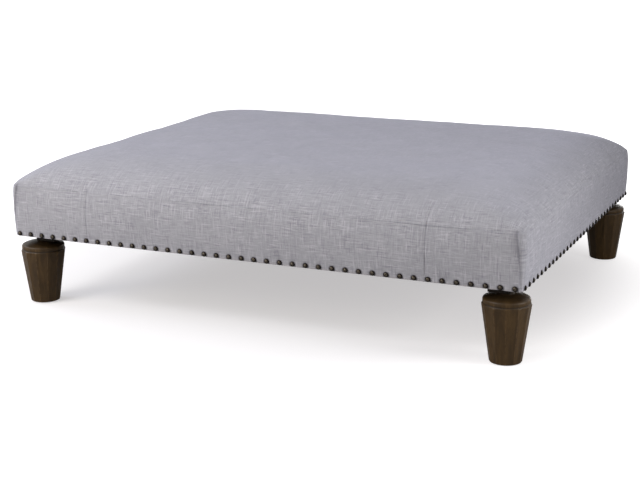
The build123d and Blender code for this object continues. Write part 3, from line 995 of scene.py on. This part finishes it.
def finish_for(name):
    """The finish of a CAD node by its name, or none where the scene has its own piece."""
    if name.endswith(("screws", "staples", "bolts", "inserts")):
        return steel
    for start, finish in (
        ("corner_block_", dark_block), ("rail_front", rail_timber), ("rail_back", rail_timber),
        ("rail_", short_rail_timber), ("cross_rail_", short_rail_timber), ("deck", ply_face),
        ("glides", glide_plastic),
    ):
        if name.startswith(start):
            return finish
    return None


def finish_nodes():
    """Better finishes for the timber, the fasteners and the glides, on the CAD nodes' own slots."""
    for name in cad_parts:
        piece, finish = bpy.data.objects.get(name), finish_for(name)
        if piece is not None and finish is not None:
            for slot in piece.material_slots:
                slot.material = finish


finish_nodes()


# -------- floor, light and camera

def make_floor():
    """A pale floor whose glow to the camera is painted light: white away from the object, dimmer and a little
    pink near it, where its shadow is kept.
    """
    size, glow_under = 30.0, 0.485
    shadow_middle, shadow_reach = (-0.12, 0.0, 0.0), (0.78, 1.35)
    mesh = bpy.data.meshes.new("floor")
    corners = [(-size, -size, 0), (size, -size, 0), (size, size, 0), (-size, size, 0)]
    mesh.from_pydata(corners, [], [(0, 1, 2, 3)])
    floor = new_object("floor", mesh)
    paint, tree, shader = new_finish("pale_floor")
    tree.nodes.remove(shader)
    rays = tree.nodes.new("ShaderNodeLightPath").outputs
    plain = add(tree, "ShaderNodeBsdfDiffuse", {"Color": colour(203, 202, 202)}).outputs[0]
    away = add(tree, "ShaderNodeVectorMath", {0: object_place(tree), 1: shadow_middle},
               operation="DISTANCE").outputs["Value"]
    # Painted light: the glow is dimmer and a little pink near the object, and white beyond
    seen = times(tree, rays["Is Camera Ray"], ramp(tree, away, *shadow_reach, glow_under, 1.0))
    tone = blend(tree, ramp(tree, away, *shadow_reach), colour(255, 252, 253), colour(255, 255, 255))
    glow = add(tree, "ShaderNodeEmission", {"Color": tone, "Strength": seen}).outputs[0]
    both = add(tree, "ShaderNodeAddShader", {0: plain, 1: glow}).outputs[0]
    feed(tree, tree.nodes["Material Output"], (("Surface", both),))
    mesh.materials.append(paint)


def make_world():
    """White to the camera, a soft grey-white everywhere else."""
    light_on_object = 0.40
    world = bpy.data.worlds.new("studio")
    bpy.context.scene.world = world
    world.use_nodes = True
    tree = world.node_tree
    rays = tree.nodes.new("ShaderNodeLightPath").outputs
    shown = calc(tree, "MAXIMUM", calc(tree, "MAXIMUM", rays["Is Camera Ray"], rays["Is Glossy Ray"]),
                 rays["Is Transmission Ray"])
    strength = ramp(tree, shown, 0.0, 1.0, light_on_object, 1.0)
    feed(tree, tree.nodes["Background"], (("Color", (1, 1, 1, 1)), ("Strength", strength)))


def make_lamp(name, place, target, size, power, tint=(1, 1, 1), spread=180):
    """One soft rectangular lamp that faces a point."""
    light = bpy.data.lights.new(name, "AREA")
    light.shape = "RECTANGLE"
    light.size, light.size_y = size
    light.energy = power
    light.color = tint
    light.spread = math.radians(spread)
    lamp = new_object(name, light)
    lamp.location = place
    lamp.rotation_euler = (Vector(target) - Vector(place)).to_track_quat("-Z", "Y").to_euler()


def make_lamps():
    """Two soft lamps in front, one at each side and a low one behind; places in metres, power in watts."""
    front_target = (-0.3, -0.4, 0.3)
    make_lamp("front_low", (-2.55, -3.3, 1.8), front_target, (1.7, 1.3), 46.0, tint=(1.06, 1.0, 0.89))
    make_lamp("front_high", (-1.9, -2.7, 3.3), front_target, (1.8, 1.4), 67.0, tint=(1.0, 1.0, 1.03))
    make_lamp("left", (-3.4, -0.6, 2.2), (-0.3, -0.2, 0.3), (1.6, 1.2), 29.5, tint=(0.92, 1.0, 1.2))
    make_lamp("right", (2.3, -0.5, 0.8), (0.76, -0.5, 0.28), (0.8, 0.6), 4.3, spread=90)
    make_lamp("back", (0.2, 3.2, 0.35), (0.0, 0.6, 0.28), (2.4, 0.4), 14.0, spread=120)


def make_camera():
    """The photograph's view of a 640 by 480 picture."""
    focal_pixels, picture_width, sensor, view_shift = 1367.78, 640.0, 36.0, -0.1
    turn, down, roll = math.radians(-24.261), math.radians(11.684), math.radians(0.435)
    place = Vector((1.6427, -3.7763, 1.1743))
    ahead = Vector((math.sin(turn) * math.cos(down), math.cos(turn) * math.cos(down), -math.sin(down)))
    right = Vector((math.cos(turn), -math.sin(turn), 0))
    below = ahead.cross(right)
    right, below = (math.cos(roll) * right + math.sin(roll) * below,
                    math.cos(roll) * below - math.sin(roll) * right)
    data = bpy.data.cameras.new("camera")
    data.sensor_width = sensor
    data.lens = focal_pixels * sensor / picture_width
    data.shift_y = view_shift
    camera = new_object("camera", data)
    axes = Matrix((right, -below, -ahead)).transposed()
    camera.matrix_world = Matrix.Translation(place) @ axes.to_4x4()
    bpy.context.scene.camera = camera


make_floor()
make_world()
make_lamps()
make_camera()
bpy.context.scene.view_settings.view_transform = "Standard"
